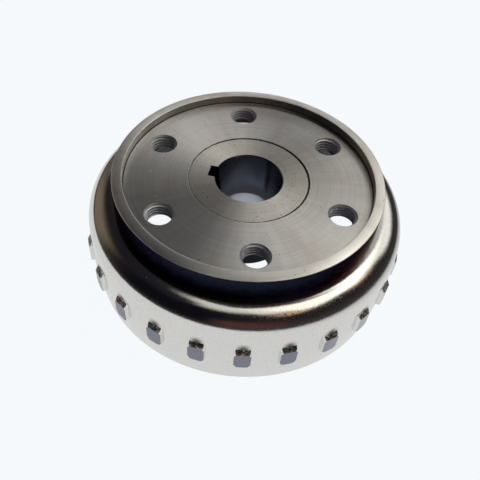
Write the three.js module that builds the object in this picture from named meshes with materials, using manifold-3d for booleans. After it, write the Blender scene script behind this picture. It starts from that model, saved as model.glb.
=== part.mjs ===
// Alternator rotor flywheel of a small engine, standing on its open rim.
// Millimetres, +Z up along the crankshaft axis. The origin is on that axis, in the plane of the open rim,
// and the keyway of the hub points to -X.
import * as THREE from 'three';
import { mergeVertices } from 'three/addons/utils/BufferGeometryUtils.js';
import Module from 'manifold-3d';

const wasm = await Module();
wasm.setup();

// ---- Driving dimensions -------------------------------------------------------------------------

const GAP = 0.3; // kept between pieces that touch
const OVERSHOOT = 1; // how far a cut runs past the face it opens
const WALL_STEPS = 72; // facets round the cup and the flange
const RING_STEPS = 48; // facets round the smaller rings
const HOLE_STEPS = 24; // facets round a tapped hole

// Starter clutch flange
const NECK_R = 48;
const SEAT_Z = 41.5; // the machined face that the starter clutch sits on
const FLANGE_UNDERSIDE_Z = 35.7;
const RIM_HEIGHT = 3.1;
const RECESS_R = 44.4;
const EDGE_CHAMFER = 0.4;
const BOLT_COUNT = 6;
const BOLT_CIRCLE_R = 35.8;
const BOLT_HOLE_R = 4.32; // minor radius of an M10 x 1.25 thread
const BOLT_MOUTH_R = 5.2;
const BOLT_PHASE = 44.35; // degrees

// Drawn steel cup, its wall slightly barrel shaped
const WALL_R = 57.7; // at the widest height
const WIDEST_Z = 19;
const BARREL_R = 130;
const SHOULDER_R = 8.2;
const RIM_EDGE_R = 0.4; // rounding of the outer edge at the open end
const CUP_INNER_R = 53;
const CUP_TOP_THICKNESS = 4.2;
const CUP_INNER_CORNER_R = 3;
const CUP_OPENING_R = 42;
const BEAD_R = 51.6; // the bead crimped inwards under the magnet cover
const BEAD_BOTTOM_Z = 5.7;
const BEAD_TOP_Z = 7.1;
const WALL_ARC_STEPS = 6; // steps along the wall and along the shoulder
const EDGE_ARC_STEPS = 2;
const CORNER_ARC_STEPS = 3;

// Trigger nubs, pushed out of the cup wall from inside
const NUB_POSITIONS = 24;
const NUB_PHASE = 10.65; // degrees
const NUBS_LEFT_OUT = [8, 9]; // the gap that marks the reference angle
const NUB_WIDTH = 5.9;
const NUB_BOTTOM_Z = 11.4;
const NUB_FACE_TOP_Z = 19.2;
const NUB_TOP_Z = 21;
const NUB_FACE_R = 58.9;
const NUB_ROOT_DEPTH = 1; // how far its solid reaches into the wall
const POCKET_DEPTH = 1.3;
const POCKET_MARGIN = 0.5;

// Hub boss
const BOSS_R = 21.25;
const COLLAR_R = 24.5;
const COLLAR_HEIGHT = 4;
const BOSS_ROOT_R = 18;
const BOSS_ROOT_Z = 28.5;
const NOSE_R = 16.5;
const NOSE_Z = 12.7;
const TAPER_MOUTH_R = 12.1;
const TAPER_END_R = 10.3;
const TAPER_LENGTH = 17.8;
const COUNTERBORE_R = 13;
const KEYWAY_WIDTH = 5;
const KEYWAY_R = 14.3;
const KEYWAY_ANGLE = 180; // degrees

// Magnets and what holds them
const MAGNET_COUNT = 12;
const MAGNET_INNER_R = 47.9;
const MAGNET_OUTER_R = CUP_INNER_R - GAP;
const MAGNET_BOTTOM_Z = 10;
const MAGNET_TOP_Z = 27.4;
const MAGNET_ANGLE = 26; // degrees
const MAGNET_ARC_STEPS = 5;
const CAGE_BOTTOM_Z = 8.2;
const CAGE_RIB_ANGLE = 3; // degrees
const CAGE_RIB_ARC_STEPS = 1;
const CAGE_RIB_INSET = 0.08; // the ribs stand this far inside the ring's round faces
const SPACER_TOP_Z = 30.9;
const COVER_THICKNESS = 0.5;
const COVER_LIP_R = 52.6;
const WELD_LEG = 1.3;

const STEEL_BRIGHT = { color: 0xc6c2b6, roughness: 0.22, metalness: 1 };
const STEEL_TURNED = { color: 0x98968f, roughness: 0.38, metalness: 1 };
const STEEL_BOSS = { color: 0x8d8a82, roughness: 0.5, metalness: 1 };
const STEEL_THIN = { color: 0xb4b6b8, roughness: 0.3, metalness: 1 };
const WELD_METAL = { color: 0x6d6a66, roughness: 0.55, metalness: 1 };
const MAGNET_DARK = { color: 0x4a4c50, roughness: 0.5, metalness: 0.6 };
const PLASTIC_BLACK = { color: 0x1c1c1e, roughness: 0.6, metalness: 0 };

// ---- Solids -------------------------------------------------------------------------------------

// A closed geometry as a solid that can be joined and cut.
function solidOf(geometry) {
  const bare = geometry.index ? geometry.toNonIndexed() : geometry.clone();
  bare.deleteAttribute('normal');
  bare.deleteAttribute('uv');
  const merged = mergeVertices(bare, 1e-4);
  const corners = merged.index.array;
  const kept = [];
  for (let i = 0; i < corners.length; i += 3) {
    const [a, b, c] = [corners[i], corners[i + 1], corners[i + 2]];
    if (a !== b && b !== c && c !== a) kept.push(a, b, c);
  }
  return new wasm.Manifold(new wasm.Mesh({
    numProp: 3,
    vertProperties: merged.attributes.position.array,
    triVerts: new Uint32Array(kept),
  }));
}

function geometryOf(solid) {
  const { vertProperties, triVerts } = solid.getMesh();
  const geometry = new THREE.BufferGeometry();
  geometry.setAttribute('position', new THREE.BufferAttribute(vertProperties, 3));
  geometry.setIndex(new THREE.BufferAttribute(triVerts, 1));
  return geometry;
}

// A ring or disc turned about Z from [radius, z] points that run counter-clockwise round its section.
function turned(points, steps) {
  const loop = [...points, points[0]].map(([r, z]) => new THREE.Vector2(r, z));
  return new THREE.LatheGeometry(loop, steps).rotateX(Math.PI / 2);
}

// Points of an arc in the [radius, z] plane, angles in radians from the +radius direction.
function arcPoints([centreR, centreZ], radius, from, to, steps) {
  return Array.from({ length: steps + 1 }, (_, i) => {
    const angle = from + (to - from) * (i / steps);
    return [centreR + radius * Math.cos(angle), centreZ + radius * Math.sin(angle)];
  });
}

// A block bent about Z: the part of a ring between two radii, centred on an angle in degrees.
function ringBlock(innerR, outerR, bottomZ, topZ, angle, width, steps) {
  const half = THREE.MathUtils.degToRad(width / 2);
  const shape = new THREE.Shape();
  shape.absarc(0, 0, outerR, -half, half, false);
  shape.absarc(0, 0, innerR, half, -half, true);
  shape.closePath();
  const options = { depth: topZ - bottomZ, bevelEnabled: false, curveSegments: steps };
  return new THREE.ExtrudeGeometry(shape, options)
    .translate(0, 0, bottomZ)
    .rotateZ(THREE.MathUtils.degToRad(angle));
}

// A bar that stands out along a radius: its side outline in [radius, z], its width across the radius.
function radialBar(outline, width, angle) {
  const shape = new THREE.Shape(outline.map(([r, z]) => new THREE.Vector2(r, z)));
  return new THREE.ExtrudeGeometry(shape, { depth: width, bevelEnabled: false })
    .translate(0, 0, -width / 2)
    .rotateX(Math.PI / 2)
    .rotateZ(THREE.MathUtils.degToRad(angle));
}

// ---- Pieces -------------------------------------------------------------------------------------

function nubAngles() {
  return Array.from({ length: NUB_POSITIONS }, (_, i) => i)
    .filter((i) => !NUBS_LEFT_OUT.includes(i))
    .map((i) => NUB_PHASE + i * (360 / NUB_POSITIONS));
}

function rotorCup() {
  const topZ = FLANGE_UNDERSIDE_Z - GAP;
  const innerTopZ = topZ - CUP_TOP_THICKNESS;
  const barrelCentre = [WALL_R - BARREL_R, WIDEST_Z];
  const shoulderZ = topZ - SHOULDER_R;
  const topAngle = Math.asin((shoulderZ - WIDEST_Z) / (BARREL_R - SHOULDER_R));
  const shoulderR = barrelCentre[0] + (BARREL_R - SHOULDER_R) * Math.cos(topAngle);
  const lowAngle = -Math.asin((WIDEST_Z - RIM_EDGE_R) / BARREL_R);
  const wall = arcPoints(barrelCentre, BARREL_R, lowAngle, topAngle, WALL_ARC_STEPS);
  const edgeCentre = [wall[0][0] - RIM_EDGE_R, RIM_EDGE_R];
  const edge = arcPoints(edgeCentre, RIM_EDGE_R, -Math.PI / 2, 0, EDGE_ARC_STEPS);
  const shoulder = arcPoints([shoulderR, shoulderZ], SHOULDER_R, topAngle, Math.PI / 2, WALL_ARC_STEPS);
  const innerCorner = [CUP_INNER_R - CUP_INNER_CORNER_R, innerTopZ - CUP_INNER_CORNER_R];
  let cup = solidOf(turned([
    [CUP_INNER_R, 0],
    ...edge,
    ...wall.slice(1),
    ...shoulder.slice(1),
    [NECK_R, topZ],
    [CUP_OPENING_R, topZ],
    [CUP_OPENING_R, innerTopZ],
    ...arcPoints(innerCorner, CUP_INNER_CORNER_R, Math.PI / 2, 0, CORNER_ARC_STEPS),
    [CUP_INNER_R, BEAD_TOP_Z],
    [BEAD_R, BEAD_TOP_Z],
    [BEAD_R, BEAD_BOTTOM_Z],
    [CUP_INNER_R, BEAD_BOTTOM_Z],
  ], WALL_STEPS));
  const rootR = WALL_R - NUB_ROOT_DEPTH;
  const nub = [
    [rootR, NUB_BOTTOM_Z],
    [NUB_FACE_R, NUB_BOTTOM_Z],
    [NUB_FACE_R, NUB_FACE_TOP_Z],
    [WALL_R, NUB_TOP_Z],
    [rootR, NUB_TOP_Z],
  ];
  const pocketLowZ = NUB_BOTTOM_Z + POCKET_MARGIN;
  const pocketHighZ = NUB_FACE_TOP_Z - POCKET_MARGIN;
  const pocket = [
    [CUP_INNER_R - OVERSHOOT, pocketLowZ],
    [CUP_INNER_R + POCKET_DEPTH, pocketLowZ],
    [CUP_INNER_R + POCKET_DEPTH, pocketHighZ],
    [CUP_INNER_R - OVERSHOOT, pocketHighZ],
  ];
  for (const angle of nubAngles()) {
    cup = cup.add(solidOf(radialBar(nub, NUB_WIDTH, angle)));
    cup = cup.subtract(solidOf(radialBar(pocket, NUB_WIDTH - 2 * POCKET_MARGIN, angle)));
  }
  return geometryOf(cup);
}

function boltHole(angle) {
  const mouthZ = SEAT_Z - (BOLT_MOUTH_R - BOLT_HOLE_R);
  const profile = [
    [0, FLANGE_UNDERSIDE_Z - OVERSHOOT],
    [BOLT_HOLE_R, FLANGE_UNDERSIDE_Z - OVERSHOOT],
    [BOLT_HOLE_R, mouthZ],
    [BOLT_MOUTH_R + OVERSHOOT, SEAT_Z + OVERSHOOT],
    [0, SEAT_Z + OVERSHOOT],
  ];
  const turn = THREE.MathUtils.degToRad(angle);
  const points = profile.map(([r, z]) => new THREE.Vector2(r, z));
  return solidOf(new THREE.LatheGeometry(points, HOLE_STEPS)
    .rotateX(Math.PI / 2)
    .translate(BOLT_CIRCLE_R * Math.cos(turn), BOLT_CIRCLE_R * Math.sin(turn), 0));
}

function clutchFlange() {
  const rimZ = SEAT_Z + RIM_HEIGHT;
  const boreR = BOSS_R + GAP;
  let flange = solidOf(turned([
    [boreR, FLANGE_UNDERSIDE_Z],
    [NECK_R, FLANGE_UNDERSIDE_Z],
    [NECK_R, rimZ - EDGE_CHAMFER],
    [NECK_R - EDGE_CHAMFER, rimZ],
    [RECESS_R + EDGE_CHAMFER, rimZ],
    [RECESS_R, rimZ - EDGE_CHAMFER],
    [RECESS_R, SEAT_Z],
    [boreR, SEAT_Z],
  ], WALL_STEPS));
  for (let i = 0; i < BOLT_COUNT; i += 1) {
    flange = flange.subtract(boltHole(BOLT_PHASE + i * (360 / BOLT_COUNT)));
  }
  return geometryOf(flange);
}

function hubBoss() {
  const collarTopZ = FLANGE_UNDERSIDE_Z - GAP;
  const collarBottomZ = collarTopZ - COLLAR_HEIGHT;
  const taperEndZ = SEAT_Z - TAPER_LENGTH;
  const body = solidOf(turned([
    [TAPER_MOUTH_R, SEAT_Z],
    [TAPER_END_R, taperEndZ],
    [COUNTERBORE_R, taperEndZ],
    [COUNTERBORE_R, NOSE_Z + EDGE_CHAMFER],
    [COUNTERBORE_R + EDGE_CHAMFER, NOSE_Z],
    [NOSE_R - EDGE_CHAMFER, NOSE_Z],
    [NOSE_R, NOSE_Z + EDGE_CHAMFER],
    [BOSS_ROOT_R, BOSS_ROOT_Z],
    [COLLAR_R, collarBottomZ],
    [COLLAR_R, collarTopZ],
    [BOSS_R, collarTopZ],
    [BOSS_R, SEAT_Z],
  ], RING_STEPS));
  const keyway = radialBar([
    [0, NOSE_Z - OVERSHOOT],
    [KEYWAY_R, NOSE_Z - OVERSHOOT],
    [KEYWAY_R, SEAT_Z + OVERSHOOT],
    [0, SEAT_Z + OVERSHOOT],
  ], KEYWAY_WIDTH, KEYWAY_ANGLE);
  return geometryOf(body.subtract(solidOf(keyway)));
}

function magnet(index) {
  const angle = (index + 0.5) * (360 / MAGNET_COUNT);
  return ringBlock(
    MAGNET_INNER_R, MAGNET_OUTER_R, MAGNET_BOTTOM_Z, MAGNET_TOP_Z, angle, MAGNET_ANGLE, MAGNET_ARC_STEPS,
  );
}

function magnetCage() {
  const ringTopZ = MAGNET_BOTTOM_Z - GAP;
  let cage = solidOf(turned([
    [MAGNET_INNER_R, CAGE_BOTTOM_Z],
    [MAGNET_OUTER_R, CAGE_BOTTOM_Z],
    [MAGNET_OUTER_R, ringTopZ],
    [MAGNET_INNER_R, ringTopZ],
  ], RING_STEPS));
  for (let i = 0; i < MAGNET_COUNT; i += 1) {
    const angle = i * (360 / MAGNET_COUNT);
    const rib = ringBlock(
      MAGNET_INNER_R + CAGE_RIB_INSET, MAGNET_OUTER_R - CAGE_RIB_INSET, CAGE_BOTTOM_Z + GAP, MAGNET_TOP_Z,
      angle, CAGE_RIB_ANGLE, CAGE_RIB_ARC_STEPS,
    );
    cage = cage.add(solidOf(rib));
  }
  return geometryOf(cage);
}

function spacerRing() {
  const bottomZ = MAGNET_TOP_Z + GAP;
  const bevel = CUP_INNER_CORNER_R - GAP;
  return turned([
    [MAGNET_INNER_R, bottomZ],
    [MAGNET_OUTER_R, bottomZ],
    [MAGNET_OUTER_R, SPACER_TOP_Z - bevel],
    [MAGNET_OUTER_R - bevel, SPACER_TOP_Z],
    [MAGNET_INNER_R, SPACER_TOP_Z],
  ], RING_STEPS);
}

function magnetCover() {
  const outerR = MAGNET_INNER_R - GAP;
  const innerR = outerR - COVER_THICKNESS;
  const lipBottomZ = BEAD_TOP_Z + GAP;
  const lipTopZ = lipBottomZ + COVER_THICKNESS;
  return turned([
    [innerR, lipBottomZ],
    [COVER_LIP_R, lipBottomZ],
    [COVER_LIP_R, lipTopZ],
    [outerR, lipTopZ],
    [outerR, SPACER_TOP_Z],
    [innerR, SPACER_TOP_Z],
  ], RING_STEPS);
}

// A fillet weld under the flange: outside the round wall of the boss, or inside that of the cup's opening.
function weldBead(wallR, outside, steps) {
  const cornerZ = FLANGE_UNDERSIDE_Z - GAP;
  const cornerR = outside ? wallR + GAP : wallR - GAP;
  const corner = [cornerR, cornerZ];
  const lowEnd = [cornerR, cornerZ - WELD_LEG];
  const sideEnd = [outside ? cornerR + WELD_LEG : cornerR - WELD_LEG, cornerZ];
  return turned(outside ? [lowEnd, sideEnd, corner] : [lowEnd, corner, sideEnd], steps);
}

// ---- Assembly -----------------------------------------------------------------------------------

const flywheel = new THREE.Group();

function place(name, geometry, finish) {
  const mesh = new THREE.Mesh(geometry, new THREE.MeshStandardMaterial({ ...finish, flatShading: true }));
  mesh.name = name;
  flywheel.add(mesh);
}

place('rotor_cup', rotorCup(), STEEL_BRIGHT);
place('clutch_flange', clutchFlange(), STEEL_TURNED);
place('hub_boss', hubBoss(), STEEL_BOSS);
for (let i = 0; i < MAGNET_COUNT; i += 1) {
  place(`magnet_${String(i + 1).padStart(2, '0')}`, magnet(i), MAGNET_DARK);
}
place('magnet_cage', magnetCage(), PLASTIC_BLACK);
place('spacer_ring', spacerRing(), PLASTIC_BLACK);
place('magnet_cover', magnetCover(), STEEL_THIN);
place('flange_weld', weldBead(CUP_OPENING_R, false, WALL_STEPS), WELD_METAL);
place('boss_weld', weldBead(COLLAR_R, true, RING_STEPS), WELD_METAL);

export default flywheel;
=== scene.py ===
"""Looks of an alternator rotor flywheel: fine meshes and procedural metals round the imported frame."""
import math

import bmesh
import bpy
from mathutils import Matrix, Vector


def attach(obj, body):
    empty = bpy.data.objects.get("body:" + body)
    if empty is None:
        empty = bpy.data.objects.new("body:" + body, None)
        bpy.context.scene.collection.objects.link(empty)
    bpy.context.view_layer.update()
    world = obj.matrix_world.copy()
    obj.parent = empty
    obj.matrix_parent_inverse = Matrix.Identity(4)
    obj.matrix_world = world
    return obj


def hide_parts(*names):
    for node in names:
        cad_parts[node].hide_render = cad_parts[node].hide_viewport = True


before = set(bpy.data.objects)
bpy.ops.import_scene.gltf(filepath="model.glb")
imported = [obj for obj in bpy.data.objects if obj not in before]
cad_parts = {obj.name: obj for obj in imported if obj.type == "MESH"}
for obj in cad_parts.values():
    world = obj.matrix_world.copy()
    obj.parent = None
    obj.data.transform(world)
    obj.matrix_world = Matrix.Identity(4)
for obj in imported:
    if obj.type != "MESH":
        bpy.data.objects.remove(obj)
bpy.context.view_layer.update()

MM = 0.001
TURN = 2 * math.pi
MERGE_DISTANCE = 1e-7  # metres

# ---- Driving dimensions, in millimetres and degrees as in the CAD ---------------------------------

SEAT_Z = 41.5
UNDERSIDE_Z = 35.7
RIM_Z = 44.6
NECK_R = 48.0
RECESS_R = 44.4
FLANGE_BORE_R = 21.55
RIM_FALL = 0.28
NECK_FOOT_GAP = 0.04
NECK_FOOT_WIDTH = 1.5

BOLT_COUNT = 6
BOLT_CIRCLE_R = 35.8
BOLT_PHASE = 44.35
BOLT_MOUTH_R = 5.2
THREAD_MINOR_R = 4.32
THREAD_MAJOR_R = 5.0
THREAD_PITCH = 1.25

WALL_R = 57.7
WIDEST_Z = 19.0
BARREL_R = 130.0
SHOULDER_R = 8.2
RIM_EDGE_R = 0.4
CUP_TOP_Z = 35.4
CUP_INNER_TOP_Z = 31.2
CUP_INNER_R = 53.0
CUP_INNER_CORNER_R = 3.0
CUP_OPENING_R = 42.0
BEAD_R = 51.6
BEAD_BOTTOM_Z = 5.7
BEAD_TOP_Z = 7.1

NUB_POSITIONS = 24
NUB_PHASE = 10.65
NUBS_LEFT_OUT = (8, 9)
NUB_WIDTH = 5.95
NUB_BOTTOM_Z = 11.4
NUB_FACE_TOP_Z = 19.2
NUB_TOP_Z = 21.0
NUB_FACE_R = 58.9
NUB_CORNER_R = 1.7
NUB_SIDE_SLOPE = 7.0
NUB_BEVEL_HALF = 2.2
NUB_FACET_ACROSS = 0.875
NUB_FACET_UP = 0.47
HALO_HEIGHT = 3.6
HALO_HALF = 3.1

BOSS_R = 21.5
COLLAR_R = 24.5
COLLAR_BOTTOM_Z = 31.4
BOSS_ROOT_R = 18.0
BOSS_ROOT_Z = 28.5
NOSE_R = 16.5
NOSE_Z = 12.7
TAPER_MOUTH_R = 12.1
TAPER_END_R = 10.3
TAPER_END_Z = 23.7
COUNTERBORE_R = 13.0
KEYWAY_HALF = 2.5
KEYWAY_R = 14.3

COVER_INNER_R = 47.1
COVER_OUTER_R = 47.6
COVER_LIP_R = 52.6
COVER_BOTTOM_Z = 7.4
COVER_TOP_Z = 30.9
COVER_LIP_HEIGHT = 0.5
COVER_DENT = 0.12
MAGNET_COUNT = 12
WELD_LEG = 1.3
WELD_RIPPLE_LENGTH = 1.1
WELD_RIPPLE_HEIGHT = 0.12
SOFT_EDGE = 0.2
GAP = 0.3


# ---- Outlines -------------------------------------------------------------------------------------

def arc(centre_r, centre_z, radius, start, end, steps):
    """Points (r, z) of an arc, angles in degrees from the +r direction."""
    points = []
    for i in range(steps + 1):
        angle = math.radians(start + (end - start) * i / steps)
        points.append((centre_r + radius * math.cos(angle), centre_z + radius * math.sin(angle)))
    return points


def rounded(corners, closed=True, step=18.0):
    """Points of an outline given as corners (r, z) or (r, z, fillet radius)."""
    count = len(corners)
    points = []
    for i, corner in enumerate(corners):
        here = Vector(corner[:2])
        fillet = corner[2] if len(corner) > 2 else 0.0
        if fillet <= 0 or (not closed and i in (0, count - 1)):
            points.append(tuple(here))
            continue
        back = (Vector(corners[i - 1][:2]) - here).normalized()
        ahead = (Vector(corners[(i + 1) % count][:2]) - here).normalized()
        half = back.angle(ahead) / 2
        centre = here + (back + ahead).normalized() * fillet / math.sin(half)
        start = here + back * fillet / math.tan(half) - centre
        end = here + ahead * fillet / math.tan(half) - centre
        sweep = math.atan2(start.cross(end), start.dot(end))
        steps = max(2, round(abs(math.degrees(sweep)) / step))
        for k in range(steps + 1):
            turn = Matrix.Rotation(sweep * k / steps, 2)
            points.append(tuple(centre + turn @ start))
    return points


def even_angles(steps):
    """Angles evenly spaced round a turn."""
    return [TURN * i / steps for i in range(steps)]


def polar(radius, angle, z):
    """The point at a radius, an angle and a height."""
    return Vector((radius * math.cos(angle), radius * math.sin(angle), z))


# ---- Mesh building --------------------------------------------------------------------------------

def add_loop(bm, points):
    """New vertices at points given in millimetres."""
    return [bm.verts.new(Vector(p) * MM) for p in points]


def bridge(bm, low, high, material=None):
    """Quads between two closed loops of equal length, one above or outside the other."""
    count = len(low)
    for i in range(count):
        j = (i + 1) % count
        face = bm.faces.new((low[i], low[j], high[j], high[i]))
        face.smooth = True
        if material:
            face.material_index = material(face)


def turned(bm, section, angles, closed=True, shape=None, material=None):
    """A section of (r, z) points turned about Z. Returns its loops, one for each point."""
    loops = []
    for r, z in section:
        ring = []
        for angle in angles:
            shaped_r, shaped_z = shape(r, z, angle) if shape else (r, z)
            ring.append(polar(shaped_r, angle, shaped_z))
        loops.append(add_loop(bm, ring))
    pairs = list(zip(loops, loops[1:]))
    if closed:
        pairs.append((loops[-1], loops[0]))
    for low, high in pairs:
        bridge(bm, low, high, material=material)
    return loops


def flat_fill(bm, loops, up):
    """A flat face between loops: the first is its outer edge and the others are holes."""
    edges = set()
    for loop in loops:
        for a, b in zip(loop, loop[1:] + loop[:1]):
            edges.add(bm.edges.get((a, b)) or bm.edges.new((a, b)))
    filled = bmesh.ops.triangle_fill(bm, edges=list(edges), use_beauty=True, normal=(0, 0, 1 if up else -1))
    faces = [g for g in filled["geom"] if isinstance(g, bmesh.types.BMFace)]
    for face in faces:
        face.smooth = False
        face.normal_update()
        if (face.normal.z > 0) != up:
            face.normal_flip()
    for edge in edges:
        edge.smooth = False


def finish_mesh(bm, name, materials, nodes, sharp=35.0):
    """Turns a bmesh into a piece of the flywheel that stands for CAD nodes."""
    bmesh.ops.remove_doubles(bm, verts=bm.verts, dist=MERGE_DISTANCE)
    bmesh.ops.recalc_face_normals(bm, faces=bm.faces)
    limit = math.radians(sharp)
    for edge in bm.edges:
        if len(edge.link_faces) == 2 and edge.calc_face_angle(0) > limit:
            edge.smooth = False
    mesh = bpy.data.meshes.new(name)
    bm.to_mesh(mesh)
    bm.free()
    for material in materials:
        mesh.materials.append(material)
    piece = bpy.data.objects.new(name, mesh)
    bpy.context.scene.collection.objects.link(piece)
    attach(piece, "root")
    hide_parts(*nodes)


# ---- Shader helpers -------------------------------------------------------------------------------

def add_node(tree, kind, inputs=None, **settings):
    """A shader node: its inputs are numbers, colours or sockets to link."""
    node = tree.nodes.new(kind)
    for key, value in settings.items():
        setattr(node, key, value)
    for key, value in (inputs or {}).items():
        if isinstance(value, bpy.types.NodeSocket):
            tree.links.new(value, node.inputs[key])
        else:
            node.inputs[key].default_value = value
    return node


def calc(tree, operation, *values):
    """The result of a maths node on numbers or sockets."""
    return add_node(tree, "ShaderNodeMath", dict(enumerate(values)), operation=operation).outputs[0]


def ramp(tree, value, low, high, start=0.0, end=1.0):
    """A smooth step from start to end as value goes from low to high."""
    inputs = {"Value": value, "From Min": low, "From Max": high, "To Min": start, "To Max": end}
    node = add_node(tree, "ShaderNodeMapRange", inputs, interpolation_type="SMOOTHSTEP")
    return node.outputs["Result"]


def blend_colour(tree, factor, first, second):
    """The first colour where the factor is 0 and the second where it is 1."""
    node = add_node(tree, "ShaderNodeMix", {"Factor": factor}, data_type="RGBA")
    colour_inputs = [socket for socket in node.inputs if socket.type == "RGBA"]
    for socket, value in zip(colour_inputs, (first, second)):
        if isinstance(value, bpy.types.NodeSocket):
            tree.links.new(value, socket)
        else:
            socket.default_value = (*value, 1.0)
    return next(socket for socket in node.outputs if socket.type == "RGBA")


def tinted(tree, metal, mask, strength, colour):
    """The metal's colour, changed towards another by a strength where the mask is 1."""
    return blend_colour(tree, calc(tree, "MULTIPLY", mask, strength), metal, colour)


def weighted_sum(tree, *parts):
    """The sum of pairs of a socket and its weight."""
    total = calc(tree, "MULTIPLY", *parts[0])
    for value, weight in parts[1:]:
        total = calc(tree, "ADD", total, calc(tree, "MULTIPLY", value, weight))
    return total


def noise(tree, place, scale, detail, roughness=0.5):
    """Cloudy noise from 0 to 1."""
    inputs = {"Vector": place, "Scale": scale, "Detail": detail, "Roughness": roughness}
    return add_node(tree, "ShaderNodeTexNoise", inputs).outputs["Fac"]


def bump(tree, height, depth):
    """A normal for relief of a depth in millimetres."""
    inputs = {"Height": height, "Strength": 1.0, "Distance": depth * MM}
    return add_node(tree, "ShaderNodeBump", inputs).outputs["Normal"]


def new_material(name):
    """A material with one shader: the material, its node tree and the shader."""
    material = bpy.data.materials.new(name)
    material.use_nodes = True
    tree = material.node_tree
    tree.nodes.clear()
    output = add_node(tree, "ShaderNodeOutputMaterial")
    shader = add_node(tree, "ShaderNodeBsdfPrincipled")
    tree.links.new(shader.outputs["BSDF"], output.inputs["Surface"])
    return material, tree, shader


def object_point(tree):
    """Object coordinates in millimetres."""
    raw = add_node(tree, "ShaderNodeTexCoord").outputs["Object"]
    return add_node(tree, "ShaderNodeVectorMath", {0: raw, "Scale": 1 / MM}, operation="SCALE").outputs[0]


def vector(tree, x, y, z):
    """A vector from three numbers or sockets."""
    return add_node(tree, "ShaderNodeCombineXYZ", {0: x, 1: y, 2: z}).outputs[0]


def cylinder(tree, point):
    """The cylinder coordinates of a point: its radius, its angle in radians and its height."""
    x, y, z = add_node(tree, "ShaderNodeSeparateXYZ", {0: point}).outputs
    flat = vector(tree, x, y, 0.0)
    radius = add_node(tree, "ShaderNodeVectorMath", {0: flat}, operation="LENGTH").outputs["Value"]
    return radius, calc(tree, "ARCTAN2", y, x), z


def link(tree, socket, shader, name):
    """Links a socket to one of the shader's inputs."""
    tree.links.new(socket, shader.inputs[name])


# ---- Materials ------------------------------------------------------------------------------------

STAIN = (0.66, 0.55, 0.5)
PIT = (0.07, 0.045, 0.035)
PLATE_PIT = (0.09, 0.06, 0.045)
DUST = (0.95, 0.95, 0.95)
# Colour of the painted shade in the seam and the recess corner.
GROOVE_SHADE = (0.035, 0.028, 0.024)
# Colour of the painted shade above each trigger nub.
HALO_SHADE = (0.05, 0.05, 0.055)
SEAM_R = (BOSS_R + FLANGE_BORE_R) / 2
# The seam's dark joint is widened by painted shade towards one bearing; the recess corner's line is painted
# shade.
SEAM_SHADE = {"width": 0.28, "swing": 0.22, "bearing": 55.0}
CORNER_SHADE = {"width": 0.24, "swing": 0.0, "bearing": 0.0}


def specks(tree, point, scale, amount):
    """A mask of small scattered spots. A larger amount gives fewer of them."""
    smallest = 0.12
    largest = 0.3
    cell = add_node(tree, "ShaderNodeTexVoronoi", {"Vector": point, "Scale": scale, "Randomness": 1.0})
    pick = add_node(tree, "ShaderNodeSeparateColor", {0: cell.outputs["Color"]}).outputs[0]
    chosen = ramp(tree, pick, amount, amount + 0.01)
    size = ramp(tree, pick, amount, 1.0, smallest, largest)
    near = calc(tree, "LESS_THAN", cell.outputs["Distance"], size)
    return calc(tree, "MULTIPLY", chosen, near)


def groove_shade_mask(tree, point, radius, angle, centre_r, width, swing, bearing):
    """A mask of a dark line of painted shade in a round groove. Swing makes it wider at a bearing, less so
    opposite.
    """
    waver = 0.06
    edge = 0.03
    turned_by = calc(tree, "COSINE", calc(tree, "SUBTRACT", angle, math.radians(bearing)))
    reach = calc(tree, "ADD", calc(tree, "MULTIPLY", turned_by, swing), width)
    reach = calc(tree, "ADD", reach, ramp(tree, noise(tree, point, 0.9, 3.0), 0.3, 0.7, -waver, waver))
    away = calc(tree, "ABSOLUTE", calc(tree, "SUBTRACT", radius, centre_r))
    inside = calc(tree, "SUBTRACT", reach, away)
    return ramp(tree, inside, -edge, 2 * edge)


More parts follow.
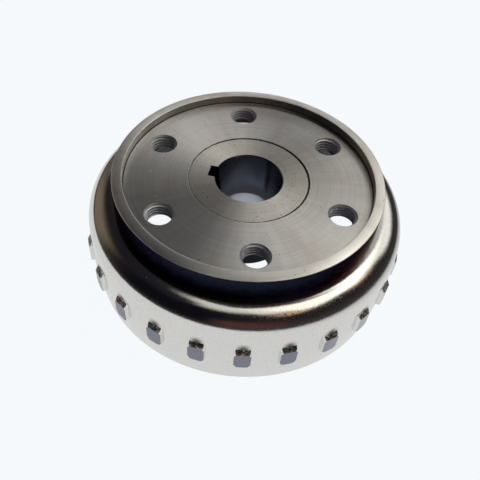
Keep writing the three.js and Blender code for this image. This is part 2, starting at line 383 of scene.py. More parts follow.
def turned_steel(name, light, dark, roughness, anisotropy, pits):
    """Face-turned steel: fine concentric tool marks, drawn-out wear, stains, pits, a little dust, and
    painted shade in the seam and the recess corner.
    """
    material, tree, shader = new_material(name)
    point = object_point(tree)
    radius, angle, z = cylinder(tree, point)
    marks = noise(tree, vector(tree, calc(tree, "MULTIPLY", radius, 5.0), 0.0, z), 1.0, 5.0, 0.7)
    arcs = vector(tree, calc(tree, "MULTIPLY", radius, 1.3), calc(tree, "MULTIPLY", angle, 0.9), z)
    wear = noise(tree, arcs, 1.0, 4.0, 0.6)
    fans = vector(tree, calc(tree, "MULTIPLY", angle, 9.0), calc(tree, "MULTIPLY", radius, 0.03), z)
    fan = noise(tree, fans, 1.0, 3.0, 0.6)
    clouds = noise(tree, point, 0.07, 3.0)
    mixed = weighted_sum(tree, (wear, 0.3), (marks, 0.15), (fan, 0.3), (clouds, 0.25))
    stain = ramp(tree, noise(tree, point, 0.11, 2.0, 0.4), 0.56, 0.68)
    holes = specks(tree, point, 1.5, pits)
    dust = specks(tree, point, 0.55, 0.98)
    # Painted shade: a dark line along the seam, wider towards one bearing, and another in the recess
    # corner.
    seam = groove_shade_mask(tree, point, radius, angle, SEAM_R, **SEAM_SHADE)
    corner = groove_shade_mask(tree, point, radius, angle, RECESS_R - 0.1, **CORNER_SHADE)
    on_seat = calc(tree, "LESS_THAN", z, SEAT_Z + 0.3)
    painted_groove_shade = calc(tree, "MAXIMUM", seam, calc(tree, "MULTIPLY", corner, 0.85))
    painted_groove_shade = calc(tree, "MULTIPLY", painted_groove_shade, on_seat)

    metal = blend_colour(tree, ramp(tree, mixed, 0.38, 0.62), dark, light)
    metal = tinted(tree, metal, stain, 0.25, STAIN)
    metal = tinted(tree, metal, holes, 0.85, PIT)
    metal = tinted(tree, metal, dust, 0.6, DUST)
    # Painted shade in the seam and the recess corner.
    metal = tinted(tree, metal, painted_groove_shade, 0.93, GROOVE_SHADE)
    link(tree, metal, shader, "Base Color")
    rough = calc(tree, "ADD", ramp(tree, mixed, 0.3, 0.7, 0.015, -0.005), roughness)
    spots = calc(tree, "ADD", calc(tree, "ADD", holes, dust), painted_groove_shade)
    link(tree, calc(tree, "ADD", rough, calc(tree, "MULTIPLY", spots, 0.35)), shader, "Roughness")
    height = calc(tree, "SUBTRACT", marks, calc(tree, "MULTIPLY", holes, 3.0))
    link(tree, bump(tree, height, 0.004), shader, "Normal")
    tangent = add_node(tree, "ShaderNodeTangent", direction_type="RADIAL", axis="Z")
    link(tree, tangent.outputs[0], shader, "Tangent")
    shader.inputs["Metallic"].default_value = 1.0
    shader.inputs["Anisotropic"].default_value = anisotropy
    shader.inputs["Anisotropic Rotation"].default_value = 0.25
    return material


def halo_shade_mask(tree, angle, z):
    """A mask of painted shade: the dark, dull half-round patch above each trigger nub, standing for the
    dark reflection there.
    """
    pitch = TURN / NUB_POSITIONS
    place = calc(tree, "DIVIDE", calc(tree, "SUBTRACT", angle, math.radians(NUB_PHASE)), pitch)
    index = calc(tree, "ROUND", place)
    across = calc(tree, "MULTIPLY", calc(tree, "SUBTRACT", place, index), pitch * WALL_R / HALO_HALF)
    rise = calc(tree, "DIVIDE", calc(tree, "SUBTRACT", z, NUB_TOP_Z), HALO_HEIGHT)
    away = add_node(tree, "ShaderNodeVectorMath", {0: vector(tree, across, rise, 0.0)}, operation="LENGTH")
    patch = ramp(tree, away.outputs["Value"], 0.1, 1.0, 1.0, 0.0)
    patch = calc(tree, "MULTIPLY", patch, ramp(tree, z, NUB_TOP_Z - 0.5, NUB_TOP_Z))
    gap_middle = sum(NUBS_LEFT_OUT) / len(NUBS_LEFT_OUT)
    from_gap = calc(tree, "ABSOLUTE", calc(tree, "SUBTRACT", index, gap_middle))
    return calc(tree, "MULTIPLY", patch, calc(tree, "GREATER_THAN", from_gap, len(NUBS_LEFT_OUT) / 2))


def worn_patch(tree, angle, z):
    """A mask of the frosted patch on the cup's shoulder, between two heights and about one bearing."""
    bearing = -53.0
    around = calc(tree, "COSINE", calc(tree, "SUBTRACT", angle, math.radians(bearing)))
    band = calc(tree, "MULTIPLY", ramp(tree, z, 30.0, 32.5), ramp(tree, z, 33.9, 34.6, 1.0, 0.0))
    return calc(tree, "MULTIPLY", band, ramp(tree, around, 0.84, 0.96))


def plated_steel(name):
    """Bright plate over drawn steel: soft waviness, cloudy tints, faint runs, scuffs, a few pits, and
    painted shade above each trigger nub.
    """
    material, tree, shader = new_material(name)
    point = object_point(tree)
    angle, z = cylinder(tree, point)[1:]
    clouds = noise(tree, point, 0.1, 3.0)
    fine = noise(tree, point, 1.4, 4.0, 0.6)
    run_place = vector(tree, calc(tree, "MULTIPLY", angle, 40.0), 0.0, calc(tree, "MULTIPLY", z, 0.2))
    runs = ramp(tree, noise(tree, run_place, 1.0, 3.0, 0.6), 0.52, 0.76)
    shoulder = ramp(tree, z, 25.0, 29.0, 0.12, 1.0)
    pits = calc(tree, "MULTIPLY", specks(tree, point, 0.9, 0.975), shoulder)
    wear_and_sheen = worn_patch(tree, angle, z)
    frost = calc(tree, "MULTIPLY", ramp(tree, noise(tree, point, 1.7, 4.0, 0.7), 0.5, 0.62, 0.0, 0.8), wear_and_sheen)
    chips = calc(tree, "MULTIPLY", specks(tree, point, 0.8, 0.8), wear_and_sheen)
    holes = calc(tree, "MAXIMUM", pits, calc(tree, "MAXIMUM", frost, chips))
    halo_shade = halo_shade_mask(tree, angle, z)

    metal = blend_colour(tree, ramp(tree, clouds, 0.35, 0.65), (0.8, 0.788, 0.772), (0.79, 0.797, 0.795))
    metal = blend_colour(tree, ramp(tree, fine, 0.45, 0.72, 0.0, 0.5), metal, (0.66, 0.66, 0.65))
    metal = tinted(tree, metal, runs, 0.15, (0.6, 0.59, 0.58))
    metal = tinted(tree, metal, holes, 0.8, PLATE_PIT)
    # Painted shade above each trigger nub.
    metal = tinted(tree, metal, halo_shade, 0.9, HALO_SHADE)
    link(tree, metal, shader, "Base Color")
    rough = calc(tree, "ADD", ramp(tree, fine, 0.3, 0.75, 0.11, 0.16), calc(tree, "MULTIPLY", runs, 0.05))
    rough = calc(tree, "ADD", rough, calc(tree, "MULTIPLY", calc(tree, "MAXIMUM", halo_shade, frost), 0.25))
    link(tree, rough, shader, "Roughness")
    height = calc(tree, "ADD", noise(tree, point, 0.25, 2.0), calc(tree, "MULTIPLY", fine, 0.15))
    height = calc(tree, "SUBTRACT", height, calc(tree, "MULTIPLY", holes, 0.3))
    link(tree, bump(tree, height, 0.03), shader, "Normal")
    shader.inputs["Metallic"].default_value = 1.0
    return material


def nub_face_steel(name):
    """Front of a trigger nub: sheared, bluish and satin, with a painted sheen that makes it lighter on two
    sides of the flywheel.
    """
    material, tree, shader = new_material(name)
    point = object_point(tree)
    angle, z = cylinder(tree, point)[1:]
    grain = noise(tree, point, 3.0, 3.0)
    hatch = noise(tree, vector(tree, calc(tree, "MULTIPLY", angle, 170.0), 0.0, z), 1.0, 2.0)
    metal = blend_colour(tree, grain, (0.2, 0.21, 0.26), (0.27, 0.28, 0.34))
    # Painted sheen: nub faces on two opposite sides of the flywheel are made lighter, as a grazing
    # reflection would.
    wear_and_sheen = ramp(tree, calc(tree, "COSINE", calc(tree, "MULTIPLY", angle, 2.0)), -0.6, 0.6)
    wear_and_sheen = calc(tree, "MULTIPLY", wear_and_sheen, ramp(tree, hatch, 0.4, 0.6, 0.55, 1.0))
    link(tree, blend_colour(tree, wear_and_sheen, metal, (0.62, 0.62, 0.63)), shader, "Base Color")
    link(tree, ramp(tree, grain, 0.3, 0.7, 0.33, 0.42), shader, "Roughness")
    link(tree, bump(tree, grain, 0.01), shader, "Normal")
    shader.inputs["Metallic"].default_value = 1.0
    return material


def nub_bevel_steel(name):
    """Torn bevel on top of a trigger nub, with a few bright flecks. Its dark colour is painted shade,
    standing for the dark room that it reflects.
    """
    material, tree, shader = new_material(name)
    grain = noise(tree, object_point(tree), 1.1, 4.0, 0.65)
    flecks = ramp(tree, grain, 0.56, 0.66)
    # Painted shade: the nearly black base stands for the dark room the bevel reflects.
    metal = blend_colour(tree, ramp(tree, grain, 0.35, 0.6), (0.03, 0.026, 0.027), (0.26, 0.22, 0.2))
    link(tree, blend_colour(tree, flecks, metal, (0.85, 0.82, 0.8)), shader, "Base Color")
    link(tree, ramp(tree, grain, 0.3, 0.7, 0.5, 0.25), shader, "Roughness")
    link(tree, bump(tree, grain, 0.25), shader, "Normal")
    shader.inputs["Metallic"].default_value = 1.0
    return material


def plain_metal(name, dark, light, roughness, grain_scale, depth, edge=(1.0, 1.0, 1.0)):
    """Metal with an even grain. Its reflection at a grazing angle is tinted by edge."""
    material, tree, shader = new_material(name)
    grain = noise(tree, object_point(tree), grain_scale, 4.0, 0.6)
    link(tree, blend_colour(tree, ramp(tree, grain, 0.3, 0.7), dark, light), shader, "Base Color")
    link(tree, ramp(tree, grain, 0.3, 0.7, roughness - 0.05, roughness + 0.08), shader, "Roughness")
    link(tree, bump(tree, grain, depth), shader, "Normal")
    shader.inputs["Metallic"].default_value = 1.0
    shader.inputs["Specular Tint"].default_value = (*edge, 1.0)
    return material


def moulded_plastic(name):
    """Black plastic with a dull, slightly uneven skin."""
    material, tree, shader = new_material(name)
    grain = noise(tree, object_point(tree), 2.5, 4.0)
    link(tree, blend_colour(tree, grain, (0.012, 0.012, 0.014), (0.03, 0.03, 0.033)), shader, "Base Color")
    link(tree, ramp(tree, grain, 0.3, 0.7, 0.45, 0.6), shader, "Roughness")
    link(tree, bump(tree, grain, 0.02), shader, "Normal")
    return material


# Turned steel is kept at a roughness of 0.28 or more: below it, the denoised render turns scribbly.
SEAT_STEEL = turned_steel(
    "seat_steel", light=(0.81, 0.805, 0.795), dark=(0.64, 0.635, 0.625),
    roughness=0.285, anisotropy=0.89, pits=0.99)
# Painted light: a brighter copy of the turned steel for the rim's top, standing for its brighter
# reflections.
RIM_STEEL = turned_steel(
    "rim_steel", light=(0.95, 0.935, 0.91), dark=(0.85, 0.835, 0.81),
    roughness=0.3, anisotropy=0.85, pits=0.96)
BOSS_STEEL = turned_steel(
    "boss_steel", light=(0.77, 0.755, 0.72), dark=(0.63, 0.61, 0.57),
    roughness=0.3, anisotropy=0.88, pits=0.82)
NECK_STEEL = plain_metal(
    "neck_steel", dark=(0.011, 0.015, 0.032), light=(0.02, 0.025, 0.046),
    roughness=0.34, grain_scale=0.5, depth=0.01, edge=(0.42, 0.33, 0.31))
# Painted shade: a darker copy of the turned steel for the recess wall.
RECESS_STEEL = turned_steel(
    "recess_steel", light=(0.44, 0.43, 0.42), dark=(0.36, 0.35, 0.345),
    roughness=0.32, anisotropy=0.6, pits=0.96)
# Painted shade: dark bluish steel for the boss below the flange, inside the cup.
BODY_STEEL = plain_metal(
    "boss_body_steel", dark=(0.1, 0.115, 0.15), light=(0.16, 0.18, 0.22),
    roughness=0.4, grain_scale=1.5, depth=0.01)
PLATED_STEEL = plated_steel("plated_steel")
NUB_FACE_STEEL = nub_face_steel("nub_face_steel")
NUB_BEVEL_STEEL = nub_bevel_steel("nub_bevel_steel")
THREAD_STEEL = plain_metal(
    "thread_steel", dark=(0.54, 0.57, 0.64), light=(0.7, 0.73, 0.81),
    roughness=0.5, grain_scale=1.2, depth=0.01)
BORE_STEEL = plain_metal(
    "bore_steel", dark=(0.4, 0.43, 0.5), light=(0.46, 0.49, 0.56),
    roughness=0.22, grain_scale=0.06, depth=0.001, edge=(0.5, 0.5, 0.55))
WELD_STEEL = plain_metal(
    "weld_steel", dark=(0.16, 0.15, 0.15), light=(0.36, 0.33, 0.3),
    roughness=0.38, grain_scale=1.5, depth=0.03)
MAGNET_METAL = plain_metal(
    "magnet_metal", dark=(0.09, 0.095, 0.105), light=(0.17, 0.175, 0.19),
    roughness=0.45, grain_scale=3.0, depth=0.01)
COVER_STEEL = plain_metal(
    "cover_steel", dark=(0.5, 0.5, 0.51), light=(0.64, 0.64, 0.65),
    roughness=0.24, grain_scale=0.6, depth=0.006)
CAGE_PLASTIC = moulded_plastic("cage_plastic")

CUP_MATERIALS = [PLATED_STEEL, NUB_FACE_STEEL, NUB_BEVEL_STEEL]
FLANGE_MATERIALS = [SEAT_STEEL, RIM_STEEL, THREAD_STEEL, NECK_STEEL, RECESS_STEEL]
BOSS_MATERIALS = [BOSS_STEEL, BORE_STEEL, NECK_STEEL, BODY_STEEL]


# ---- Pieces ---------------------------------------------------------------------------------------

def barrel_r(z):
    """Outer radius of the cup's barrel shaped wall."""
    return WALL_R - BARREL_R + math.sqrt(BARREL_R ** 2 - (z - WIDEST_Z) ** 2)


def nub_surface(across, z):
    """How far a trigger nub stands out of the wall at a place, and its material there."""
    stand = NUB_FACE_R - WALL_R
    aside = abs(across)
    above = z - NUB_FACE_TOP_Z
    dx = aside - (NUB_WIDTH / 2 - NUB_CORNER_R)
    dz = NUB_BOTTOM_Z + NUB_CORNER_R - z
    outside = math.hypot(dx, dz) if dx > 0 and dz > 0 else max(dx, dz)
    side = (NUB_CORNER_R - outside) * NUB_SIDE_SLOPE
    front = NUB_FACE_R - barrel_r(z)
    bevel = stand * (1 - above / (NUB_TOP_Z - NUB_FACE_TOP_Z))
    facet = stand - NUB_FACET_ACROSS * (aside - NUB_BEVEL_HALF) - NUB_FACET_UP * above
    height = min(side, front, bevel, facet)
    if height <= 0:
        return 0.0, PLATED_STEEL
    if height == front:
        return height, NUB_FACE_STEEL
    return height, NUB_BEVEL_STEEL if height == bevel else PLATED_STEEL


def nub_across(angle):
    """Distance round the wall from the nearest trigger nub, or None where that nub is left out."""
    pitch = TURN / NUB_POSITIONS
    place = (angle - math.radians(NUB_PHASE)) / pitch
    index = round(place)
    return None if index % NUB_POSITIONS in NUBS_LEFT_OUT else (place - index) * pitch * WALL_R


def cup_columns():
    """Angles of the cup's columns: closer together over each nub, with a few at each of its side edges."""
    pitch = TURN / NUB_POSITIONS
    half = NUB_WIDTH / 2
    inset = 0.22
    face_count = 18
    gap_count = 5
    face = [-half + inset + (NUB_WIDTH - 2 * inset) * i / (face_count - 1) for i in range(face_count)]
    edge = [half - 0.08, half + 0.03, half + 0.3, half + 0.8]
    across = sorted(face + edge + [-e for e in edge])
    across_angles = [a / WALL_R for a in across]
    gap = pitch - 2 * across_angles[-1]
    between = [across_angles[-1] + gap * i / (gap_count + 1) for i in range(1, gap_count + 1)]
    phase = math.radians(NUB_PHASE)
    return [phase + k * pitch + a for k in range(NUB_POSITIONS) for a in across_angles + between]


def wall_rows():
    """Heights of the wall's rows of points: closer together where a nub starts and ends."""
    rows = [1.2, 3.0, 5.0, 7.0, 8.6, 9.8]
    rows += [NUB_BOTTOM_Z - 0.4 + 0.13 * i for i in range(9)]
    rows += [NUB_BOTTOM_Z + 1.1 + 0.6 * i for i in range(9)]
    rows += [NUB_FACE_TOP_Z - 1.6 + 0.2 * i for i in range(18)]
    rows += [22.0, 22.8, 23.6, 24.4, 25.3, 26.2]
    return rows


def cup_shape(r, z, angle):
    """Pushes the cup's outer wall out where a trigger nub is."""
    across = nub_across(angle)
    if r < CUP_INNER_R + 2 or across is None:
        return r, z
    return r + nub_surface(across, z)[0], z


def rotor_cup():
    """The drawn cup with its trigger nubs, shoulder and crimped bead."""
    shoulder_z = CUP_TOP_Z - SHOULDER_R
    wall = [(barrel_r(z), z) for z in wall_rows()]
    edge_r = barrel_r(RIM_EDGE_R)
    edge = arc(edge_r - RIM_EDGE_R, RIM_EDGE_R, RIM_EDGE_R, -90, 0, 4)
    lean = math.asin((shoulder_z - WIDEST_Z) / (BARREL_R - SHOULDER_R))
    shoulder_r = WALL_R - BARREL_R + (BARREL_R - SHOULDER_R) * math.cos(lean)
    shoulder = arc(shoulder_r, shoulder_z, SHOULDER_R, math.degrees(lean), 90, 30)
    inner = rounded([
        (NECK_R - 0.4, CUP_TOP_Z),
        (CUP_OPENING_R, CUP_TOP_Z, 0.3),
        (CUP_OPENING_R, CUP_INNER_TOP_Z, 0.3),
        (CUP_INNER_R, CUP_INNER_TOP_Z, CUP_INNER_CORNER_R),
        (CUP_INNER_R, BEAD_TOP_Z, 0.2),
        (BEAD_R, BEAD_TOP_Z, 0.4),
        (BEAD_R, BEAD_BOTTOM_Z, 0.4),
        (CUP_INNER_R, BEAD_BOTTOM_Z, 0.5),
        (CUP_INNER_R, 0, 0.5),
        (edge_r - 1.4, 0),
    ], closed=False, step=30.0)

    def material(face):
        """Plate, or the nub's own steel where the face is part of one."""
        middle = face.calc_center_median() / MM
        across = nub_across(math.atan2(middle.y, middle.x))
        if across is None or middle.xy.length < WALL_R - 1:
            return CUP_MATERIALS.index(PLATED_STEEL)
        return CUP_MATERIALS.index(nub_surface(across, middle.z)[1])

    bm = bmesh.new()
    turned(bm, edge + wall + shoulder + inner, cup_columns(), shape=cup_shape, material=material)
    finish_mesh(bm, "rotor_cup_shell", CUP_MATERIALS, ["rotor_cup"])


def thread_radius(angle, z):
    """Radius of the holes' right-hand thread, with flats on its crests and roots."""
    share = (z / THREAD_PITCH - angle / TURN) % 1.0
    from_root = abs(share - 0.5) * THREAD_PITCH
    half_flat = THREAD_PITCH / 16
    flank_slope = math.tan(math.radians(60))
    radius = THREAD_MAJOR_R - (from_root - half_flat) * flank_slope
    return min(THREAD_MAJOR_R, max(THREAD_MINOR_R, radius))


def bolt_hole(bm, index):
    """The wall of one tapped hole, with its chamfers. Returns its upper and lower edge."""
    bearing = math.radians(BOLT_PHASE + index * 360 / BOLT_COUNT)
    centre = polar(BOLT_CIRCLE_R, bearing, 0)
    lower_mouth_r = THREAD_MAJOR_R + 0.05
    thread_start = index * 1.7
    columns = 72
    rows = 60
    loops = []
    for k in range(rows + 1):
        z = SEAT_Z + (UNDERSIDE_Z - SEAT_Z) * k / rows
        upper_cone = BOLT_MOUTH_R - (SEAT_Z - z)
        lower_cone = lower_mouth_r - (z - UNDERSIDE_Z)
        ring = []
        for angle in even_angles(columns):
            cut = thread_radius(angle + thread_start, z)
            ring.append(centre + polar(max(cut, upper_cone, lower_cone), angle, z))
        loops.append(add_loop(bm, ring))
    for upper, lower in zip(loops, loops[1:]):
        bridge(bm, upper, lower, material=lambda face: FLANGE_MATERIALS.index(THREAD_STEEL))
    return loops[0], loops[-1]


def clutch_flange():
    """The turned disc with its raised rim, neck and tapped holes."""
    bm = bmesh.new()
    foot_z = CUP_TOP_Z + NECK_FOOT_GAP
    rim = rounded([
        (RECESS_R - 0.35, SEAT_Z),
        (RECESS_R, SEAT_Z, 0.08),
        (RECESS_R, RIM_Z, 0.25),
        (NECK_R, RIM_Z - RIM_FALL, 0.3),
        (NECK_R, foot_z),
        (NECK_R - NECK_FOOT_WIDTH, foot_z),
        (NECK_R - NECK_FOOT_WIDTH - GAP, UNDERSIDE_Z),
    ], closed=False)
    bore = rounded([
        (FLANGE_BORE_R + 0.4, SEAT_Z),
        (FLANGE_BORE_R, SEAT_Z, 0.22),
        (FLANGE_BORE_R, UNDERSIDE_Z, 0.2),
        (FLANGE_BORE_R + 0.4, UNDERSIDE_Z),
    ], closed=False)

    def material(face):
        """Steel of the rim's top, the neck or the recess. The rim's steel is a brighter copy, painted
        light; the recess's is a darker copy, painted shade.
        """
        middle = face.calc_center_median() / MM
        if middle.z > RIM_Z - 0.5:
            return FLANGE_MATERIALS.index(RIM_STEEL)
        outside = middle.xy.length > NECK_R - 0.15
        return FLANGE_MATERIALS.index(NECK_STEEL if outside else RECESS_STEEL)

    outer = turned(bm, rim, even_angles(360), closed=False, material=material)
    inner = turned(bm, bore, even_angles(240), closed=False)
    holes = [bolt_hole(bm, i) for i in range(BOLT_COUNT)]
    flat_fill(bm, [outer[0], inner[0]] + [top for top, bottom in holes], up=True)
    flat_fill(bm, [outer[-1], inner[-1]] + [bottom for top, bottom in holes], up=False)
    finish_mesh(bm, "clutch_flange_turned", FLANGE_MATERIALS, ["clutch_flange"])


def bore_outline(radius, z, spread=0.0):
    """The bore with its keyway at one height, and a keyway wider by spread on each side."""
    half = KEYWAY_HALF + spread
    far = KEYWAY_R + spread
    corner_r = 0.35
    opening = math.asin(half / radius)
    steps = 156
    points = []
    for i in range(steps + 1):
        points.append(polar(radius, -math.pi + opening + (TURN - 2 * opening) * i / steps, z))
    start_x = -math.sqrt(radius ** 2 - half ** 2)
    corners = [(start_x, half), (-far, half, corner_r), (-far, -half, corner_r), (start_x, -half)]
    side = rounded(corners, closed=False, step=30.0)
    middle = [(start_x + (corner_r - far - start_x) * k / 3, half) for k in (1, 2)]
    below = [(x, -y) for x, y in reversed(middle)]
    return points + [Vector((x, y, z)) for x, y in middle + side[1:-1] + below]


def hub_boss():
    """The boss with its seam edge, collar and nose, and the taper bore with its keyway."""
    bm = bmesh.new()
    collar_z = UNDERSIDE_Z - GAP
    body = rounded([
        (BOSS_R - 0.6, SEAT_Z),
        (BOSS_R, SEAT_Z, 0.18),
        (BOSS_R, collar_z),
        (COLLAR_R, collar_z, 0.3),
        (COLLAR_R, COLLAR_BOTTOM_Z, 0.5),
        (BOSS_ROOT_R, BOSS_ROOT_Z, 2.0),
        (NOSE_R, NOSE_Z, 0.8),
        (NOSE_R - 1.2, NOSE_Z),
    ], closed=False, step=12.0)

    def body_material(face):
        """Turned steel on top, and below the flange darker steel that is painted shade inside the cup."""
        on_top = face.calc_center_median().z > UNDERSIDE_Z * MM
        return BOSS_MATERIALS.index(BOSS_STEEL if on_top else BODY_STEEL)

    def bore_material(face):
        """Painted shade in the keyway, drawn with the neck's dark steel, and bright steel in the bore."""
        middle = face.calc_center_median() / MM
        in_keyway = middle.x < -TAPER_END_R and abs(middle.y) < KEYWAY_HALF + 0.3
        # Painted shade: the keyway's faces get the dark neck steel.
        return BOSS_MATERIALS.index(NECK_STEEL if in_keyway else BORE_STEEL)

    outer = turned(bm, body, even_angles(240), closed=False, material=body_material)
    chamfer = 0.25
    nose_chamfer = 0.5
    taper_steps = 8
    taper_top_z = SEAT_Z - chamfer
    stages = [bore_outline(TAPER_MOUTH_R + chamfer, SEAT_Z, chamfer)]
    stages.append(bore_outline(TAPER_MOUTH_R, taper_top_z))
    for k in range(1, taper_steps + 1):
        share = k / taper_steps
        radius = TAPER_MOUTH_R + (TAPER_END_R - TAPER_MOUTH_R) * share
        stages.append(bore_outline(radius, taper_top_z + (TAPER_END_Z - taper_top_z) * share))
    stages.append(bore_outline(COUNTERBORE_R, TAPER_END_Z))
    stages.append(bore_outline(COUNTERBORE_R, NOSE_Z + nose_chamfer))
    stages.append(bore_outline(COUNTERBORE_R + nose_chamfer, NOSE_Z))
    loops = [add_loop(bm, points) for points in stages]
    for upper, lower in zip(loops, loops[1:]):
        bridge(bm, upper, lower, material=bore_material)
    flat_fill(bm, [outer[0], loops[0]], up=True)
    flat_fill(bm, [outer[-1], loops[-1]], up=False)
    finish_mesh(bm, "hub_boss_turned", BOSS_MATERIALS, ["hub_boss"])


def magnet_cover():
    """Thin sleeve, pressed slightly into the gaps between the magnets."""
    lip_z = COVER_BOTTOM_Z + COVER_LIP_HEIGHT
    fade = 3
    dent_sharpness = 24

    def shape(r, z, angle):
        """Presses the sleeve outwards between two magnets, fading at its ends."""
        if r > COVER_OUTER_R + 0.05:
            return r, z
        place = angle / TURN * MAGNET_COUNT
        dent = COVER_DENT * math.exp(-((place - round(place)) * dent_sharpness) ** 2)
        from_top = min(1.0, max(0.0, (COVER_TOP_Z - z) / fade))
        from_bottom = min(1.0, max(0.0, (z - COVER_BOTTOM_Z - 1) / fade))
        return r + dent * (from_top * from_bottom), z

    corners = [
        (COVER_INNER_R, COVER_BOTTOM_Z, 0.9),
        (COVER_LIP_R, COVER_BOTTOM_Z, 0.1),
        (COVER_LIP_R, lip_z, 0.1),
        (COVER_OUTER_R, lip_z, 0.4),
        (COVER_OUTER_R, COVER_TOP_Z - 3 * fade),
        (COVER_OUTER_R, COVER_TOP_Z, 0.1),
        (COVER_INNER_R, COVER_TOP_Z, 0.1),
        (COVER_INNER_R, COVER_TOP_Z - fade),
        (COVER_INNER_R, COVER_TOP_Z - 3 * fade),
        (COVER_INNER_R, COVER_BOTTOM_Z + 3 * fade),
        (COVER_INNER_R, COVER_BOTTOM_Z + fade + 1),
    ]
    bm = bmesh.new()
    turned(bm, rounded(corners), even_angles(480), shape=shape)
    finish_mesh(bm, "magnet_cover_sleeve", [COVER_STEEL], ["magnet_cover"])


def weld_bead(name, node, wall_r, outward):
    """A fillet weld whose face is a row of overlapping ripples. Outward is 1, or -1 for a bore."""
    corner_z = UNDERSIDE_Z - GAP
    corner_r = wall_r + GAP * outward
    face_offset = 0.35

    def shape(r, z, angle):
        """Raises a wave round the bead's face."""
        if math.hypot(r - wall_r, z - corner_z) - GAP <= 0.5:
            return r, z
        wave = 0.5 + 0.5 * math.cos(angle * wall_r / WELD_RIPPLE_LENGTH * TURN)
        return r + WELD_RIPPLE_HEIGHT * wave * outward, z - WELD_RIPPLE_HEIGHT * wave

    start, end = (45, -90) if outward > 0 else (135, 270)
    face = arc(corner_r + outward * face_offset, corner_z - face_offset, WELD_LEG - 0.4, start, end, 8)
    bm = bmesh.new()
    turned(bm, [(corner_r, corner_z)] + face, even_angles(900), shape=shape)
    finish_mesh(bm, name, [WELD_STEEL], [node], sharp=60.0)


def inner_nodes():
    """Magnets, cage and spacer keep their CAD shape, with softened edges and their own materials."""
    moulded = ["magnet_cage", "spacer_ring"]
    magnets = [f"magnet_{number:02d}" for number in range(1, MAGNET_COUNT + 1)]
    for name in moulded + magnets:
        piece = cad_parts[name]
        piece.data.materials.clear()
        piece.data.materials.append(CAGE_PLASTIC if name in moulded else MAGNET_METAL)
        softened = piece.modifiers.new("softened_edges", "BEVEL")
        softened.width = SOFT_EDGE * MM
        softened.segments = 2
        softened.limit_method = "ANGLE"
        softened.angle_limit = math.radians(50)


rotor_cup()
clutch_flange()
hub_boss()
magnet_cover()
weld_bead("flange_weld_ripples", "flange_weld", CUP_OPENING_R, -1)
weld_bead("boss_weld_ripples", "boss_weld", COLLAR_R, 1)
inner_nodes()


# ---- Stage, light and camera ----------------------------------------------------------------------

CAMERA_AZIMUTH = math.radians(7.25)
CAMERA_ELEVATION = math.radians(49.13)
CAMERA_ROLL = math.radians(5.636)
CAMERA_DISTANCE = 4.2348 * NECK_R
CAMERA_TO_RIGHT = 0.0674 * NECK_R
CAMERA_TO_TOP = 0.4622 * NECK_R
CAMERA_LENS = 42.83
CAMERA_SENSOR = 36.0

FLOOR_HALF_SIZE = 6.0  # metres
SHEET_CENTRE = (-90, -30, 0)
SHEET_INNER_R = 150
SHEET_OUTER_R = 330

PALE = (0.905, 0.939, 0.965)
FLOOR_DIM = (0.03, 0.028, 0.028)
FLOOR_LIT = (0.74, 0.745, 0.735)
ROOM_LOW = (0.042, 0.034, 0.034)
ROOM_HIGH = (0.013, 0.011, 0.013)

# Soft cards round the room: azimuth to the right of the far side, half width, lowest and highest
# elevation and softness, all in degrees, and colour. A later card covers an earlier one.
CARDS = (
    (225, 37, 2, 66, 14, (0.004, 0.004, 0.007)),  # dark room behind the camera, to the left
    (170, 21, 3, 30, 9, (0.085, 0.036, 0.031)),  # brown furniture behind the camera
    (-60, 20, -20, 36, 12, (0.18, 0.14, 0.1)),  # brown wall on the left
    (-21, 14, -20, 30, 6, (0.22, 0.205, 0.185)),  # grey wall at the far left
    (-9, 8, 30, 38, 4, (0.9, 0.885, 0.89)),  # narrow far window
    (135, 12, 47, 60, 5, (0.6, 0.36, 0.2)),  # amber lamp behind the camera, to the right
    (82, 9, 36, 48, 6, (0.6, 0.34, 0.19)),  # amber lamp on the right
    (185, 138, 70, 120, 9, (0.7, 0.68, 0.6)),  # ceiling
    (-82, 50, 52, 75, 6, (0.012, 0.011, 0.014)),  # dark gap below the ceiling, on the left
    (113, 42, 63, 120, 8, (0.88, 0.85, 0.74)),  # brighter ceiling on the right
    (5, 11, 2, 23, 5, (1.0, 0.98, 0.98)),  # low far window
    (90, 34, 50, 80, 6, (1.3, 1.25, 1.07)),  # high lamp on the right
    (38, 26, 22, 43, 9, (1.02, 0.99, 0.9)),  # wide lamp at the far right
    (56, 31, 44, 61, 9, (1.75, 1.7, 1.53)),  # main lamp at the far right
    (5, 6, 47.5, 54.5, 2, (2.3, 2.23, 2.1)),  # small far lamp
)


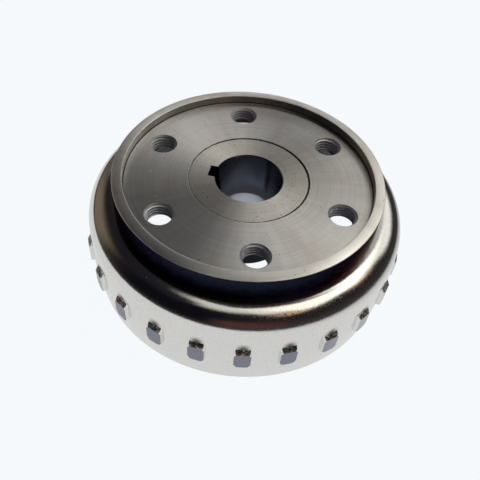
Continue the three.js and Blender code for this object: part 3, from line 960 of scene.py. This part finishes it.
def floor():
    """A pale surface. In reflections it is a lit sheet that ends in a soft edge round the flywheel, with a
    painted shadow under the cup and a painted pool of light below the bore.
    """
    bm = bmesh.new()
    bmesh.ops.create_grid(bm, x_segments=1, y_segments=1, size=FLOOR_HALF_SIZE)
    mesh = bpy.data.meshes.new("floor")
    bm.to_mesh(mesh)
    bm.free()
    material, tree, shader = new_material("floor_white")
    point = object_point(tree)
    radius = cylinder(tree, point)[0]
    sheet_centre = Matrix.Rotation(CAMERA_AZIMUTH, 3, "Z") @ Vector(SHEET_CENTRE)
    offset = add_node(tree, "ShaderNodeVectorMath", {0: point, 1: sheet_centre}, operation="DISTANCE")
    sheet = ramp(tree, offset.outputs["Value"], SHEET_INNER_R, SHEET_OUTER_R, 1.0, 0.0)
    # Painted shadow on the floor under the cup, and a painted pool of light below the bore.
    outside_cup = ramp(tree, radius, 50, 57, 0.06, 1.0)
    below_bore = ramp(tree, radius, 7, 12, 1.3, 0.0)
    sheet = calc(tree, "MULTIPLY", sheet, calc(tree, "MAXIMUM", outside_cup, below_bore))
    lit = blend_colour(tree, sheet, FLOOR_DIM, FLOOR_LIT)
    seen = add_node(tree, "ShaderNodeLightPath").outputs["Is Camera Ray"]
    shader.inputs["Base Color"].default_value = (0.03, 0.03, 0.03, 1)
    shader.inputs["Roughness"].default_value = 0.9
    shader.inputs["Specular IOR Level"].default_value = 0.0
    shader.inputs["Emission Strength"].default_value = 1.0
    link(tree, blend_colour(tree, seen, lit, PALE), shader, "Emission Color")
    mesh.materials.append(material)
    ground = bpy.data.objects.new("floor", mesh)
    bpy.context.scene.collection.objects.link(ground)


def card_mask(tree, level, elevation, azimuth, half_width, low, high, soft):
    """A mask of the directions that a card covers. Level is the direction without its height."""
    bearing = CAMERA_AZIMUTH - math.radians(azimuth)
    facing = Vector((-math.sin(bearing), math.cos(bearing), 0))
    near = add_node(tree, "ShaderNodeVectorMath", {0: level, 1: facing}, operation="DOT_PRODUCT")
    aside = calc(tree, "MULTIPLY", calc(tree, "ARCCOSINE", near.outputs["Value"]), 360 / TURN)
    across = ramp(tree, aside, half_width - soft, half_width + soft, 1.0, 0.0)
    above = ramp(tree, elevation, low - soft, low + soft)
    below = ramp(tree, elevation, high - soft, high + soft, 1.0, 0.0)
    return calc(tree, "MULTIPLY", across, calc(tree, "MULTIPLY", above, below))


def studio_world():
    """Soft cards in a dim room, as the flywheel and the floor see it. The camera sees a pale backdrop."""
    world = bpy.data.worlds.new("studio")
    bpy.context.scene.world = world
    world.use_nodes = True
    tree = world.node_tree
    tree.nodes.clear()
    direction = add_node(tree, "ShaderNodeTexCoord").outputs["Generated"]
    x, y, z = add_node(tree, "ShaderNodeSeparateXYZ", {0: direction}).outputs
    elevation = calc(tree, "MULTIPLY", calc(tree, "ARCSINE", z), 360 / TURN)
    flat = vector(tree, x, y, 0.0)
    level = add_node(tree, "ShaderNodeVectorMath", {0: flat}, operation="NORMALIZE").outputs[0]
    colour = blend_colour(tree, ramp(tree, elevation, -10, 40), ROOM_LOW, ROOM_HIGH)
    for *extent, shade in CARDS:
        colour = blend_colour(tree, card_mask(tree, level, elevation, *extent), colour, shade)
    seen = add_node(tree, "ShaderNodeLightPath").outputs["Is Camera Ray"]
    colour = blend_colour(tree, seen, colour, PALE)
    background = add_node(tree, "ShaderNodeBackground", {"Color": colour, "Strength": 1.0})
    output = add_node(tree, "ShaderNodeOutputWorld")
    tree.links.new(background.outputs[0], output.inputs[0])


def camera():
    """A close view from above the front, rolled slightly."""
    turn = Matrix.Rotation(CAMERA_AZIMUTH, 3, "Z")
    forward = turn @ Vector((0, math.cos(CAMERA_ELEVATION), -math.sin(CAMERA_ELEVATION)))
    level = turn @ Vector((1, 0, 0))
    upright = level.cross(forward)
    right = math.cos(CAMERA_ROLL) * level + math.sin(CAMERA_ROLL) * upright
    above = math.cos(CAMERA_ROLL) * upright - math.sin(CAMERA_ROLL) * level
    place = Vector((0, 0, SEAT_Z)) - CAMERA_DISTANCE * forward
    place = place - CAMERA_TO_RIGHT * right - CAMERA_TO_TOP * above
    data = bpy.data.cameras.new("camera")
    data.sensor_width = CAMERA_SENSOR
    data.lens = CAMERA_LENS
    data.clip_start = 0.01
    eye = bpy.data.objects.new("camera", data)
    rotation = Matrix((right, above, -forward)).transposed()
    eye.matrix_world = Matrix.Translation(place * MM) @ rotation.to_4x4()
    bpy.context.scene.collection.objects.link(eye)
    bpy.context.scene.camera = eye


floor()
studio_world()
camera()
bpy.context.scene.view_settings.view_transform = "Standard"
